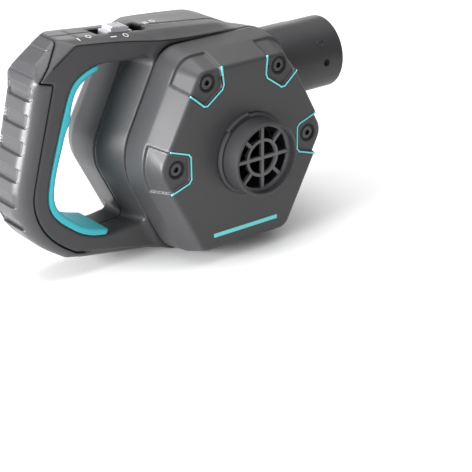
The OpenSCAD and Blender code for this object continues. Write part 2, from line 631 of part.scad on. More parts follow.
module front_bracket() {
    color([0.66, 0.67, 0.69]) difference() {
        union() {
            prism([for (p = rounded([[27, 22], [-27, 22], [-27, -22], [27, -22]], [6, 6, 6, 6])) p + [axis_x, axis_z]], -2, 0.4);
            ycyl(axis_x, axis_z, 9.6, -5, 0.4, 64);
            for (m = motor_screw_at) ycyl(axis_x + m[0], axis_z + m[1], 3.6, 0, 9, 32);
        }
        ycyl(axis_x, axis_z, 7.4, -6, 0, 64);
        ycyl(axis_x, axis_z, 5.6, -6, 3, 64);
        for (s = [-1, 1]) ycyl(axis_x + s * 18, axis_z, 5, -6, 3, 48);
        for (m = motor_screw_at) ycyl(axis_x + m[0], axis_z + m[1], 1.6, -6, 20, 32);
    }
}
module rear_bracket() {
    color([0.66, 0.67, 0.69]) difference() {
        union() {
            prism([for (p = rounded([[27, 22], [-27, 22], [-27, -22], [27, -22]], [6, 6, 6, 6])) p + [axis_x, axis_z]],
                43.2, 45.4);
            ycyl(axis_x, axis_z, 10, 43.2, 51.4, 64);
            for (m = motor_screw_at) ycyl(axis_x + m[0], axis_z + m[1], 3.6, 29, 44, 32);
        }
        ycyl(axis_x, axis_z, 7.4, 45.2, 50.2, 64);
        ycyl(axis_x, axis_z, 5.6, 40, 52.4, 64);
        for (m = motor_screw_at) ycyl(axis_x + m[0], axis_z + m[1], 1.6, 20, 50, 32);
    }
}
module motor_screws() {
    color([0.6, 0.61, 0.63]) for (m = motor_screw_at)
        socket_screw(axis_x + m[0], axis_z + m[1], 45.4 + 2.6 * 0.9, 53.5, -1, 2.6, 1.4 - gap);
}
module brush_holders() {
    color([0.72, 0.6, 0.3]) for (s = [-1, 1]) difference() {
        union() {
            box(axis_x + s * 19 - 8, axis_x + s * 19 + 8, 34.8, 41.8, axis_z - 4, axis_z + 4);
            box(axis_x + s * 19 - 4, axis_x + s * 19 + 4, 41.7, 43.2, axis_z - 6, axis_z + 6);
        }
        box(axis_x + s * 18 - 8.5, axis_x + s * 18 + 8, 36, 40.6, axis_z - 3, axis_z + 3);
    }
}
module brushes() {
    color([0.16, 0.16, 0.17]) for (s = [-1, 1])
        box(axis_x + s * 12.8 - 4, axis_x + s * 12.8 + 4, 36.1, 40.5, axis_z - 2.9, axis_z + 2.9);
}
module spring(x0, x1, y, z, r, wire_r, turns) {
    steps = turns * 8;
    skin([for (i = [0:steps]) let(a = i * 45, x = x0 + (x1 - x0) * i / steps) [for (k = [0:4])
        let(q = r + wire_r * cos(k * 72)) [x + wire_r * sin(k * 72), y + q * cos(a), z + q * sin(a)]]]);
}
module brush_springs() {
    color([0.75, 0.76, 0.78]) for (s = [-1, 1])
        spring(axis_x + s * 21.3 - 3.9, axis_x + s * 21.3 + 3.9, 38.3, axis_z, 1.5, 0.3, 5);
}
module motor_mount() {
    color([0.12, 0.12, 0.12]) difference() {
        ycyl(axis_x, axis_z, 18.5, 46.4, 52.6, 72);
        ycyl(axis_x, axis_z, 10.1, 46, 54, 64);
    }
}

// ---- electrics -------------------------------------------------------------
module circuit_board() {
    color([0.12, 0.35, 0.2]) difference() {
        box(-34, 20, 6, 40, 16, 17.6);
        for (x = [-30, 16]) for (y = [10, 36]) translate([x, y, 10]) cylinder(h = 10, r = 1.6, $fn = 24);
    }
}
module capacitor() {
    color([0.75, 0.7, 0.2]) box(-28, -10, 14, 22, 17.6, 29.6);
}
module thermal_cutout() {
    color([0.85, 0.85, 0.82]) box(axis_x - 6, axis_x + 6, 12, 26, axis_z - 26.2, axis_z - 22.02);
}
module wire(path, r) {
    n = len(path) - 1;
    skin([for (i = [0:n]) let(
        t = unit(unit(path[min(i + 1, n)] - path[min(i, n - 1)]) + unit(path[max(i, 1)] - path[max(i - 1, 0)])),
        u = unit(cross(t, [0.3, 1, 0.2])), v = cross(u, t))
        [for (k = [0:7]) path[i] + r * (u * cos(k * 45) + v * sin(k * 45))]]);
}
module leads() {
    color([0.75, 0.1, 0.1]) wire([[-62, 9.6, 147.6], [-57, 13.5, 147], [-48, 14.5, 146], [-45, 20, 140],
        [-44, 30, 128], [-44, 30, 52], [-30, 30, 34], [-27, 30, 18.8]], 1);
    color([0.1, 0.2, 0.7]) wire([[-54, 9.6, 146.7], [-48, 9.8, 145.4], [-42, 12, 140], [-40, 24, 126],
        [-39.5, 26, 110], [-39.5, 26, 52], [-24, 27, 34], [-22, 27, 18.8]], 1);
    color([0.8, 0.8, 0.8]) wire([[-18, 32, 18.8], [-22, 34, 34], [-27, 38.3, 52], [-27.5, 38.3, axis_z - 6],
        [-25.5, 38.3, axis_z - 0.4], [-22.4, 38.3, axis_z]], 1);
    color([0.1, 0.1, 0.1]) wire([[14, 32, 18.8], [26, 34, 34], [36, 38.3, 52], [37, 38.3, axis_z - 6],
        [35.5, 38.3, axis_z - 0.4], [32.4, 38.3, axis_z]], 1);
}
module cord_gland() {
    color([0.1, 0.1, 0.1]) translate([cord_x, rear_y, cord_z]) rotate([-90, 0, 0]) difference() {
        rotate_extrude($fn = 64) polygon([[0, -7], [7.6, -7], [7.6, -2.5], [6, -2.5], [6, 0.1], [7.4, 0.1],
            [7.4, 1.4], [5.4, 3.6], [0, 3.6]]);
        translate([0, 0, -10]) cylinder(h = 20, r = 3.3, $fn = 48);
    }
}
module cord_clamp() {
    color([0.2, 0.2, 0.21]) difference() {
        box(cord_x - 14.7, cord_x + 14.7, 36.4, 39.9, cord_z - 4, cord_z + 4);
        for (s = [-1, 1]) ycyl(cord_x + s * clamp_x, cord_z, 1.5, 30, 50, 32);
        translate([cord_x, 41.4, cord_z - 6]) cylinder(h = 12, r = 3, $fn = 48);
    }
}
module clamp_screws() {
    color([0.6, 0.61, 0.63]) for (s = [-1, 1])
        socket_screw(cord_x + s * clamp_x, cord_z, 36.4 - 2.4 * 0.9, 11, 1, 2.4, 1.0);
}

front_cover();
front_housing();
rear_housing();
grip_cover();
handle_liner();
plate_trim();
inlet_collar();
inlet_grille();
outlet_tube();
cover_screws();
housing_screws();
switch_plate();
switch_knob();
switch_body();
switch_wiper();
volute();
volute_back();
impeller();
impeller_nut();
shaft();
front_bearing();
rear_bearing();
armature_core();
armature_windings();
commutator();
stator_core();
field_coils();
front_bracket();
rear_bracket();
motor_screws();
brush_holders();
brushes();
brush_springs();
motor_mount();
circuit_board();
capacitor();
thermal_cutout();
leads();
cord_gland();
cord_clamp();
clamp_screws();
rating_plate();
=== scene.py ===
"""Electric air mattress pump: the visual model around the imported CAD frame.

Shapes that flow into each other (shells, handle, grip, liner) are written as signed distance
fields in millimetres and meshed here; everything else is lathed or kept from the CAD.
"""

import math

import bmesh
import bpy
import numpy as np
from mathutils import Matrix, Vector


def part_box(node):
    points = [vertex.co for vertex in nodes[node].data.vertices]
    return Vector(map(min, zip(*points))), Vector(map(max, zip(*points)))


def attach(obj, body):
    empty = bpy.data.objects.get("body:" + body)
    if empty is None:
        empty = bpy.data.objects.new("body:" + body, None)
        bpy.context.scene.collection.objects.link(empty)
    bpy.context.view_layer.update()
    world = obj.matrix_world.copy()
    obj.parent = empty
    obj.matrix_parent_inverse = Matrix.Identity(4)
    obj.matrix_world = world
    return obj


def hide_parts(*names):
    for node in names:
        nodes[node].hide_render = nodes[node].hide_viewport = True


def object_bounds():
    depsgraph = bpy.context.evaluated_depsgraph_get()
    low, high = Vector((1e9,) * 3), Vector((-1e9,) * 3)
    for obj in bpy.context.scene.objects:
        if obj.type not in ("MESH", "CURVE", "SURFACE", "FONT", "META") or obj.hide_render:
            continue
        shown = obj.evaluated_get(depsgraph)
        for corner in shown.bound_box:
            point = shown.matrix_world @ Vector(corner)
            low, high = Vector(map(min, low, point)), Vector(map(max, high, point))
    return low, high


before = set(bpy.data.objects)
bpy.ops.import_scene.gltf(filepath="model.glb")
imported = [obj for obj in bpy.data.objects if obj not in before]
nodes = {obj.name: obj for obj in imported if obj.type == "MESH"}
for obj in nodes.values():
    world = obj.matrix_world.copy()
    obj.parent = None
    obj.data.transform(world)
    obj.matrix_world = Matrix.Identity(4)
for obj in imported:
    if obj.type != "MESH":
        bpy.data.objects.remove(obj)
cad_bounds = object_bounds()
MM = 0.001

# ---------------------------------------------------------------------------------------------
# Places and sizes from the CAD, in millimetres
# ---------------------------------------------------------------------------------------------


def node_box(name):
    """Lowest and highest corners of a CAD node, in millimetres."""
    low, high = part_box(name)
    return np.array(low) / MM, np.array(high) / MM


COVER_LOW, COVER_HIGH = node_box("front_cover")
COLLAR_LOW, COLLAR_HIGH = node_box("inlet_collar")
LINER_LOW, LINER_HIGH = node_box("handle_liner")
PLATE_Y = COVER_LOW[1]
SEAM_Y = COVER_HIGH[1]
REAR_Y = node_box("rear_housing")[1][1]
TOP_Z = cad_bounds[1][2] / MM

# Ports
PORT_X = (COLLAR_LOW[0] + COLLAR_HIGH[0]) / 2
PORT_Z = (COLLAR_LOW[2] + COLLAR_HIGH[2]) / 2
TUBE_ROOT_R = 25.8
TUBE_R = 25.5
TUBE_Z = 107.6
TUBE_HOLE_X = 38
PORT_CLEAR = 1.7
TUBE_CLEAR = 0.15
LATCH_X = 97.0

# Drum, deck and handle
DRUM_Z = 74.0
DECK_Z = 149.6
DECK_FALL = 0.105
HANDLE_HALF = 19.0
WALL = 2.4
SEAM_GAP = 0.3
CORNER_SCREWS = [(55.1, DRUM_Z), (-55.1, DRUM_Z), (29.5, DRUM_Z + 53.2), (-29.5, DRUM_Z + 53.2)]
WELL_R, WELL_DEPTH = 5.2, 5.5
POCKET_DEPTH = 1.7
POCKET_BACK_Y = -39.5

# Half sizes of the slide switch's recess, along the deck, across it and below it
SWITCH_X = -62.0
SWITCH_HALF = (19.1, 7.1, 5.2)

# Back face: vent slots, cord bush and rating plate
VENT_ROWS = range(-3, 4)
VENT_PITCH, VENT_HALF_X, VENT_HALF_Z, VENT_OFFSET, VENT_DEPTH = 6, 9, 1.5, 33, 6
BUSH_Z, BUSH_R, BUSH_FROM_Y = 31, 6.2, 40
LABEL_Z, LABEL_HALF_X, LABEL_HALF_Z, LABEL_DEPTH = 108, 24, 8, 0.6

# Sizes of the mesh cells
SHELL_CELL, REAR_CELL, GRIP_CELL, LINER_CELL = 1.0, 1.15, 0.5, 0.8


# ---------------------------------------------------------------------------------------------
# Distance fields. x, y, z are arrays in millimetres; negative is inside.
# ---------------------------------------------------------------------------------------------
FAR_INSIDE = -50


def soft_max(a, b, k):
    """Largest of two distances with a corner rounded over a width k."""
    h = np.maximum(k - np.abs(a - b), 0) / k
    return np.maximum(a, b) + h * h * k / 4


def soft_min(a, b, k):
    """Smallest of two distances with a fillet over a width k."""
    h = np.maximum(k - np.abs(a - b), 0) / k
    return np.minimum(a, b) - h * h * k / 4


def smooth_step(a, b, t):
    """0 below a, 1 above b, eased between."""
    u = np.clip((t - a) / (b - a), 0, 1)
    return u * u * (3 - 2 * u)


def outline_distance(points, x, z):
    """Signed distance to a closed outline in the front view."""
    best = np.full(x.shape, 1e9)
    inside = np.zeros(x.shape, bool)
    for (ax, az), (bx, bz) in zip(points, points[1:] + points[:1]):
        ex, ez = bx - ax, bz - az
        px, pz = x - ax, z - az
        t = np.clip((px * ex + pz * ez) / (ex * ex + ez * ez), 0, 1)
        best = np.minimum(best, (px - t * ex) ** 2 + (pz - t * ez) ** 2)
        crosses = (az > z) != (bz > z)
        if abs(ez) > 1e-9:
            inside ^= crosses & (px < ex * pz / ez)
    return np.where(inside, -1, 1) * np.sqrt(best)


def round_outline(points, rounds=2):
    """Corner-cut an open or closed line of points so that it bends smoothly."""
    for _ in range(rounds):
        cut = [points[0]]
        for a, b in zip(points[:-1], points[1:]):
            cut.append((a[0] * 0.75 + b[0] * 0.25, a[1] * 0.75 + b[1] * 0.25))
            cut.append((a[0] * 0.25 + b[0] * 0.75, a[1] * 0.25 + b[1] * 0.75))
        cut.append(points[-1])
        points = cut
    return points


def six(w, a, t, b):
    """Corners of a drum section about the drum centre, right corner first."""
    return [(w, 0), (a, t), (-a, t), (-w, 0), (-a, -b), (a, -b)]


class Drum:
    """Hexagonal section that changes along Y, given as stations of corners and corner widths."""

    def __init__(self, stations):
        ys = np.arange(stations[0][0] - 4, stations[-1][0] + 4, 0.25)
        source = np.array([s[0] for s in stations])
        columns = []
        rows = [[c for corner in s[1] for c in corner] + list(s[2]) for s in stations]
        for values in zip(*rows):
            lined = np.interp(ys, source, values)
            for _ in range(3):
                lined = np.convolve(np.pad(lined, 3, mode="edge"), np.ones(7) / 7, mode="valid")
            columns.append(lined)
        self.ys, self.columns = ys, columns

    def __call__(self, x, y, z):
        v = [np.interp(y, self.ys, c) for c in self.columns]
        rz = z - DRUM_Z
        sides = []
        for i in range(6):
            j = (i + 1) % 6
            ax, az, bx, bz = v[2 * i], v[2 * i + 1], v[2 * j], v[2 * j + 1]
            length = np.hypot(bx - ax, bz - az)
            sides.append(((x - ax) * (bz - az) - (rz - az) * (bx - ax)) / length)
        top = np.max(sides, axis=0)
        bulge = np.zeros_like(top)
        for i in range(6):
            a, b, k = sides[i - 1], sides[i], v[12 + i]
            h = np.maximum(k - np.abs(a - b), 0) / k
            bulge = np.maximum(bulge, np.where(np.maximum(a, b) >= top - 1e-6, h * h * k / 4, 0))
        return top + bulge


cover_drum = Drum([
    (PLATE_Y, six(68.4, 35.0, 61.7, 62.7), (5, 4, 4, 5, 5, 5)),
    (PLATE_Y + 1.5, six(69.4, 35.5, 62.7, 63.7), (5, 4, 4, 5, 5, 5)),
    (-40.5, six(74.6, 39.6, 68.2, 69.1), (14, 8, 8, 14, 11, 11)),
    (-39.0, six(75.3, 40.0, 68.8, 69.6), (16, 9, 9, 16, 11, 11)),
    (SEAM_Y, six(77.8, 41.7, 71.7, 72.2), (19, 11, 11, 19, 13, 13)),
])
body_drum = Drum([
    (SEAM_Y, six(77.8, 41.7, 71.7, 72.2), (19, 11, 11, 19, 13, 13)),
    (-10, [(81.5, 0), (40, 71), (-45, 75.5), (-82.5, 0.8), (-44.5, -73.8), (44.5, -73.8)],
     (16, 12.5, 8, 16, 13, 13)),
    (0, [(84, 0), (38, 70.5), (-48, 80.6), (-86, 1.5), (-47, -74), (47, -74)],
     (13, 17, 6, 13, 13, 13)),
    (29, [(84, 0), (36, 73), (-44, 79.5), (-85, 1), (-46, -74), (46, -74)],
     (14, 24, 7, 14, 13, 13)),
    (40, [(80, 0), (38, 70), (-42, 73), (-81, 0.5), (-44, -71), (44, -71)],
     (15, 25, 9, 15, 13, 13)),
    (50, six(74, 38, 65, 66), (15, 17, 11, 15, 13, 13)),
    (REAR_Y, six(66, 33, 58, 58), (13, 13, 10, 13, 11, 11)),
])

# Handle lines in the front view, from the deck round to the lower neck.
SEAM_LINE = [(-113.6, 157.6), (-122.5, 146.5), (-130.4, 138.6), (-121.1, 135.9), (-126, 118), (-130.9, 100),
             (-137.6, 75), (-140.6, 62), (-138.6, 49.5), (-132.4, 37), (-122, 26.5), (-110.5, 19)]
GRIP_LINE = [(-115.2, 159.4), (-129.8, 148.6), (-134.4, 139.5), (-135.6, 135), (-140, 117), (-144.6, 98),
             (-151.4, 74), (-153, 62), (-150.8, 49.5), (-143.7, 36.3), (-131.5, 24.4), (-116.5, 14.6)]
WINDOW_LINE = [(-66, 140.6), (-86.5, 142.6), (-98, 139.4), (-108, 132.8), (-114.1, 117.1), (-119.6, 99.6),
               (-125.8, 80.4), (-130.2, 60.5), (-127.4, 49.4), (-119.4, 40.6), (-103.1, 28.1), (-84.4, 24.1),
               (-64, 26.4)]
LINER_LINE = [(-87.4, 138.8), (-97, 134.8), (-105, 128.4), (-109.6, 115.5), (-109.2, 109), (-113.6, 103.2),
              (-117.1, 92.3), (-122.9, 75.2), (-125.4, 60), (-122.4, 51.4), (-115.9, 44.4), (-101.8, 33.2),
              (-84.8, 28.4)]


def deck_height(x):
    return DECK_Z - DECK_FALL * x


frame_outline = (
    [(-30, 152.4), (-84, deck_height(-84) - 0.2), (-111.5, deck_height(-111.5) - 0.2), SEAM_LINE[0]]
    + [SEAM_LINE[1], SEAM_LINE[2], SEAM_LINE[3]]
    + round_outline(SEAM_LINE[3:], 2)[1:]
    + [(-70, 10.9), (-35, 3.2), (-30, 3.2), (-30, 60)]
)
window_outline = [(-40, 60), (-40, 139.6)] + round_outline(WINDOW_LINE, 2) + [(-40, 27)]
lower_outline = [(-110.5, 19), (-114, 15.5), (-105, 10.6), (-70, 5), (-35, 0.4), (-30, 0.4), (-30, 22),
                 (-100, 22)]


def eased(stations, values):
    """Values given at a few stations along X, eased so that the surface has no folds between them."""
    line = np.interp(DECK_X, stations, values)
    for _ in range(3):
        line = np.convolve(np.pad(line, 8, mode="edge"), np.ones(17) / 17, mode="valid")
    return line


DECK_X = np.arange(-110.0, 40.0, 1.0)
DECK_STATIONS = [-86, -64, -42, -22, 0, 18]
FRONT_EDGE = eased(DECK_STATIONS, [19, 19.2, 20.6, 21.3, 21.4, 21.4])
FRONT_DROP = eased(DECK_STATIONS, [2.4, 2.8, 4.3, 5.4, 4.8, 3.6])
REAR_EDGE = eased(DECK_STATIONS, [19, 20, 24, 27, 28.5, 28.8])


def deck_top(x, y, z):
    """Distance above the deck, which falls away toward its front and rear edges."""
    front_edge = np.interp(x, DECK_X, FRONT_EDGE)
    rear_edge = np.interp(x, DECK_X, REAR_EDGE)
    front = smooth_step(8, front_edge + 1, -y) * np.interp(x, DECK_X, FRONT_DROP)
    rear = smooth_step(rear_edge - 9, rear_edge + 1, y) * 1.8
    return (z - deck_height(x) + front + rear) * 0.97


def corner_cut(x, y, z):
    """Facet across the top outer corner of the handle, the same on both faces."""
    corner = np.array([-103.7, -HANDLE_HALF, 158.1])
    lower = np.array([-120.6, -HANDLE_HALF, 146.6])
    inner = np.array([-113.6, -10.5, 158.9])
    normal = np.cross(inner - corner, lower - corner)
    normal = normal / np.linalg.norm(normal) * np.sign(normal[2])
    away = (x - corner[0], -np.abs(y) - corner[1], z - corner[2])
    return away[0] * normal[0] + away[1] * normal[1] + away[2] * normal[2]


def deck_blend(x, y, z):
    """The deck over the neck and the top of the drum, flaring out from the handle's width."""
    front_edge = np.interp(x, DECK_X, FRONT_EDGE)
    rear_edge = np.interp(x, DECK_X, REAR_EDGE)
    top = deck_top(x, y, z)
    sides = np.maximum(-y - front_edge, y - rear_edge)
    under = np.where(x < -60, 141.8, 139.0) - z
    slab = soft_max(soft_max(top, sides, 1.4), x - 20, 12)
    return np.maximum(slab, np.maximum(under, -96 - x))


def body_field(x, y, z):
    """Both halves of the housing with the handle frame and the deck, as one closed form."""
    side = soft_max(outline_distance(frame_outline, x, z), np.abs(y) - HANDLE_HALF, 2.0)
    side = np.where(z > 120, soft_max(side, deck_top(x, y, z), 1.4), side)
    side = soft_max(side, corner_cut(x, y, z), 1.2)
    belly = soft_max(outline_distance(lower_outline, x, z), np.abs(y) - HANDLE_HALF, 14)
    handle = soft_min(side, belly, 0.5)
    handle = soft_min(handle, deck_blend(x, y, z), 0.3)
    handle = soft_max(handle, -outline_distance(window_outline, x, z), 2.0)
    drum = soft_max(body_drum(x, y, z), y - REAR_Y, 5)
    return within_height(soft_min(handle, drum, 7), z)


def within_height(solid, z):
    """Flat where the solid would pass the resting surface or the CAD's highest point."""
    return np.maximum(solid, np.maximum(0.02 - z, z - TOP_Z + 0.05))


def port_hole(x, z, r):
    return r - np.hypot(x - PORT_X, z - PORT_Z)


def tube_hole(x, y, z, r):
    return np.where(x > TUBE_HOLE_X, r - np.hypot(y, z - TUBE_Z), FAR_INSIDE)


def box_distance(offsets, halves):
    """Distance outside a box, given offsets from its middle and its half sizes."""
    return np.max([np.abs(o) - h for o, h in zip(offsets, halves)], axis=0)


def switch_hole(x, y, z):
    """Negative outside the recess of the slide switch in the sloping deck."""
    tilt = math.atan(DECK_FALL)
    along = (x - SWITCH_X) * math.cos(tilt) - (z - deck_height(SWITCH_X)) * math.sin(tilt)
    above = (x - SWITCH_X) * math.sin(tilt) + (z - deck_height(SWITCH_X)) * math.cos(tilt)
    return -box_distance((along, y, above), SWITCH_HALF)


# Outlines of the corner pockets on the right half of the plate, about the drum centre.
SIDE_POCKET = [(90, 23.6), (60.3, 12.8), (47, 8.1), (45.3, 6), (45.3, -8.2), (47, -10.4), (60.3, -14.8),
               (90, -25.6)]
UPPER_POCKET = [(21, 90), (19.5, 62), (18.2, 50), (19.3, 47.5), (31, 39.4), (33.2, 39.5), (43, 47.8),
                (90, 86)]


def cover_field(x, y, z):
    """The front cover, with its corner pockets sunk into the plate and the bevel."""
    outer = soft_max(cover_drum(x, y, z), PLATE_Y - y, 2.2)
    ax, rz = np.abs(x), z - DRUM_Z
    zone = np.minimum(outline_distance(SIDE_POCKET, ax, rz), outline_distance(UPPER_POCKET, ax, rz))
    zone = np.maximum(zone, y - POCKET_BACK_Y)
    sunk = outer + POCKET_DEPTH
    solid = soft_min(soft_max(outer, -zone, 0.8), sunk, 0.6)
    for screw_x, screw_z in CORNER_SCREWS:
        well = np.maximum(np.hypot(x - screw_x, z - screw_z) - WELL_R, y - PLATE_Y - WELL_DEPTH)
        solid = soft_max(solid, -well, 0.7)
    solid = soft_max(solid, port_hole(x, z, TUBE_R + PORT_CLEAR), 0.8)
    solid = np.maximum(solid, -(sunk + WALL))
    solid = np.maximum(solid, tube_hole(x, y, z, TUBE_ROOT_R + TUBE_CLEAR))
    return soft_max(solid, y - SEAM_Y + SEAM_GAP, 0.7)


def shell(x, y, z):
    """The body as an open-walled skin, with the tube's hole and the switch's recess."""
    solid = body_field(x, y, z)
    hollow = np.maximum(solid, -(solid + WALL))
    hollow = np.maximum(hollow, tube_hole(x, y, z, TUBE_ROOT_R + TUBE_CLEAR))
    return np.maximum(hollow, switch_hole(x, y, z))


def front_half_field(x, y, z):
    """The front half, between the parting plane and the cover."""
    solid = soft_max(shell(x, y, z), y + SEAM_GAP, 0.6)
    return soft_max(solid, SEAM_Y + SEAM_GAP - y, 0.7)


def rear_half_field(x, y, z):
    """The rear half, with its vent slots, the hole of the cord bush and the seat of the label."""
    solid = soft_max(shell(x, y, z), SEAM_GAP - y, 0.6)
    for row in VENT_ROWS:
        for side in (-1, 1):
            offsets = (x - PORT_X - side * VENT_OFFSET, z - PORT_Z - row * VENT_PITCH)
            vent = np.maximum(box_distance(offsets, (VENT_HALF_X, VENT_HALF_Z)), REAR_Y - VENT_DEPTH - y)
            solid = soft_max(solid, -vent, 0.8)
    bush = np.where(y > BUSH_FROM_Y, BUSH_R - np.hypot(x, z - BUSH_Z), FAR_INSIDE)
    solid = np.maximum(solid, bush)
    label = box_distance((x, z - LABEL_Z), (LABEL_HALF_X, LABEL_HALF_Z))
    return np.maximum(solid, -np.maximum(label, REAR_Y - LABEL_DEPTH - y))


# Heights of the six finger pads, and the sizes of one pad: half height, half width, the half
# width of its deeper middle, the depth of its rim and the extra depth of the middle at its foot.
PADS = [131 - 17 * i for i in range(6)]
PAD_HALF_Z, PAD_HALF_Y, PAD_INNER_Y, PAD_RIM, PAD_FOOT = 4.2, 14.6, 12.4, 0.8, 1.3

# The grip is full within this distance of its middle plane, then falls to the seam on this power.
GRIP_CREST = 7.5
GRIP_POWER = 2.4
grip_full = (
    [(-60, 163), (-111.2, 161.4), GRIP_LINE[0], GRIP_LINE[1]]
    + round_outline(GRIP_LINE[1:], 2)[1:]
    + [(-60, 5)]
)
grip_core = (
    [(-60, 165), (-111.2, 162.5), SEAM_LINE[0], SEAM_LINE[1], SEAM_LINE[2], SEAM_LINE[3]]
    + round_outline(SEAM_LINE[3:], 2)[1:]
    + [(-60, 5)]
)


def grip_field(x, y, z):
    """Outer shell of the handle: full at mid depth, thinning to the seam on both faces."""
    past_seam = outline_distance(grip_core, x, z)
    past_grip = outline_distance(grip_full, x, z)
    depth = np.maximum(past_seam - past_grip, 1.0)
    across = np.maximum(np.abs(y) - GRIP_CREST, 0) / (HANDLE_HALF + 0.1 - GRIP_CREST)
    out = np.maximum(past_seam + 0.6, 0) / (depth + 0.6)
    crown = (np.sqrt(across ** GRIP_POWER + out ** GRIP_POWER) - 1) * np.minimum(depth, 10)
    outer = np.where(out > 0, crown, np.abs(y) - HANDLE_HALF)
    recess = np.zeros_like(x)
    for pad_z in PADS:
        local = z - pad_z
        slope = np.clip((local + PAD_HALF_Z) / (2 * PAD_HALF_Z), 0, 1)
        span = smooth_step(-4.5, -4.1, local) * (1 - smooth_step(PAD_HALF_Z, 4.6, local))
        round_y = np.abs(y) + np.maximum(np.abs(local) - 2.2, 0) ** 2 * 0.3
        width = 1 - smooth_step(PAD_HALF_Y, PAD_HALF_Y + 0.4, round_y)
        middle = 1 - smooth_step(PAD_INNER_Y, PAD_INNER_Y + 0.4, round_y)
        recess = np.maximum(recess, span * width * (PAD_RIM + middle * (PAD_FOOT - 0.7 * slope)))
    cap = smooth_step(0, 0.7, z - (141.0 - 0.35 * (x + 134))) * (1 - smooth_step(155.2, 155.9, z))
    cap = cap * (1 - smooth_step(13.0, 13.8, np.abs(y)))
    outer = outer + recess + cap * 0.8
    solid = soft_max(outer, 0.55 - past_seam, 1.0)
    return within_height(soft_max(solid, corner_cut(x, y, z), 1.2), z)


frame_side = [p for p in round_outline(WINDOW_LINE, 2) if p[0] < -85.5 or (p[1] < 60 and p[0] < -83.5)]
liner_outline = frame_side + list(reversed(round_outline(LINER_LINE, 2)))


def liner_field(x, y, z):
    """The soft strip on the finger side of the handle."""
    flat = outline_distance(liner_outline, x, z)
    return soft_max(flat, np.abs(y) - HANDLE_HALF + 0.35, 1.4)


# ---------------------------------------------------------------------------------------------
# Meshing of a field
# ---------------------------------------------------------------------------------------------
# Corners of a grid cell, and the pairs of corners that its twelve edges join.
CORNERS = [(0, 0, 0), (1, 0, 0), (0, 1, 0), (1, 1, 0), (0, 0, 1), (1, 0, 1), (0, 1, 1), (1, 1, 1)]
EDGES = [(0, 1), (2, 3), (4, 5), (6, 7), (0, 2), (1, 3), (4, 6), (5, 7), (0, 4), (1, 5), (2, 6), (3, 7)]

# Distance between the samples that give a field's slope, in millimetres.
SLOPE_STEP = 0.05


def sample_band(field, low, size, cell, block=8):
    """Field values on a grid, worked out only in the blocks that the surface may cross."""
    counts = np.ceil(np.array(size) / cell / block).astype(int)
    span = block * cell
    centres = np.stack(np.meshgrid(*[np.arange(c) for c in counts], indexing="ij"), -1).reshape(-1, 3)
    mid = low + (centres + 0.5) * span
    rough = field(*mid.T)
    near = np.abs(rough) < span * 1.35
    values = np.repeat(np.repeat(np.repeat(rough.reshape(counts), block, 0), block, 1), block, 2)
    values = np.pad(values, ((0, 1), (0, 1), (0, 1)), mode="edge")
    steps = np.arange(block + 1)
    local = np.stack(np.meshgrid(steps, steps, steps, indexing="ij"), -1).reshape(-1, 3)
    chosen = centres[near]
    for start in range(0, len(chosen), 1500):
        part = chosen[start:start + 1500]
        index = (part[:, None, :] * block + local[None, :, :]).reshape(-1, 3)
        point = low + index * cell
        values[tuple(index.T)] = field(*point.T)
    return values


def field_slope(field, points, step):
    """Gradient of a field at each point."""
    return np.stack([(field(*(points + o).T) - field(*(points - o).T)) / (2 * step)
                     for o in np.eye(3) * step], -1)


def mesh_field(name, field, low, high, cell, settle=2):
    """A closed mesh of a field's surface, by surface nets, settled onto the true surface."""
    low = np.array(low, float) - 2 * cell
    values = sample_band(field, low, np.array(high) + 2 * cell - low, cell)
    inside = values < 0
    cells = [inside[a:a + inside.shape[0] - 1, b:b + inside.shape[1] - 1, c:c + inside.shape[2] - 1]
             for a, b, c in CORNERS]
    count = np.sum(cells, axis=0)
    active = (count > 0) & (count < 8)
    where = np.argwhere(active)
    corner = [values[tuple((where + c).T)] for c in CORNERS]
    total, hits = np.zeros((len(where), 3)), np.zeros(len(where))
    for a, b in EDGES:
        va, vb = corner[a], corner[b]
        cross = (va < 0) != (vb < 0)
        t = np.where(cross, va / np.where(cross, va - vb, 1), 0)
        point = np.array(CORNERS[a]) + t[:, None] * (np.array(CORNERS[b]) - np.array(CORNERS[a]))
        total += point * cross[:, None]
        hits += cross
    verts = low + (where + total / hits[:, None]) * cell
    for _ in range(settle):
        d = field(*verts.T)
        grad = field_slope(field, verts, SLOPE_STEP)
        norm = np.maximum((grad ** 2).sum(-1), 0.05)
        move = -(d / norm)[:, None] * grad
        reach = np.maximum(np.linalg.norm(move, axis=-1, keepdims=True), 1e-9)
        verts = verts + move * np.minimum(1, 0.45 * cell / reach)
    label = np.full(active.shape, -1)
    label[active] = np.arange(len(where))
    quads = []
    for axis in range(3):
        u, v = (axis + 1) % 3, (axis + 2) % 3
        first = inside.take(range(inside.shape[axis] - 1), axis)
        second = inside.take(range(1, inside.shape[axis]), axis)
        at = np.argwhere(first != second)
        for side in (u, v):
            at = at[(at[:, side] > 0) & (at[:, side] < active.shape[side])]
        du, dv = np.eye(3, dtype=int)[u], np.eye(3, dtype=int)[v]
        around = ((0, 0), (1, 0), (1, 1), (0, 1))
        ring = np.stack([label[tuple((at - a * du - b * dv).T)] for a, b in around], -1)
        flip = inside[tuple(at.T)]
        ring[~flip] = ring[~flip][:, ::-1]
        quads.append(ring)
    quads = np.concatenate(quads)
    quads = quads[(quads >= 0).all(1)]
    mesh = bpy.data.meshes.new(name)
    mesh.vertices.add(len(verts))
    mesh.vertices.foreach_set("co", (verts * MM).astype(np.float32).ravel())
    mesh.loops.add(quads.size)
    mesh.loops.foreach_set("vertex_index", quads.astype(np.int32).ravel())
    mesh.polygons.add(len(quads))
    mesh.polygons.foreach_set("loop_start", np.arange(0, quads.size, 4, dtype=np.int32))
    mesh.update(calc_edges=True)
    mesh.validate()
    mesh.shade_smooth()
    piece = bpy.data.objects.new(name, mesh)
    bpy.context.scene.collection.objects.link(piece)
    return piece


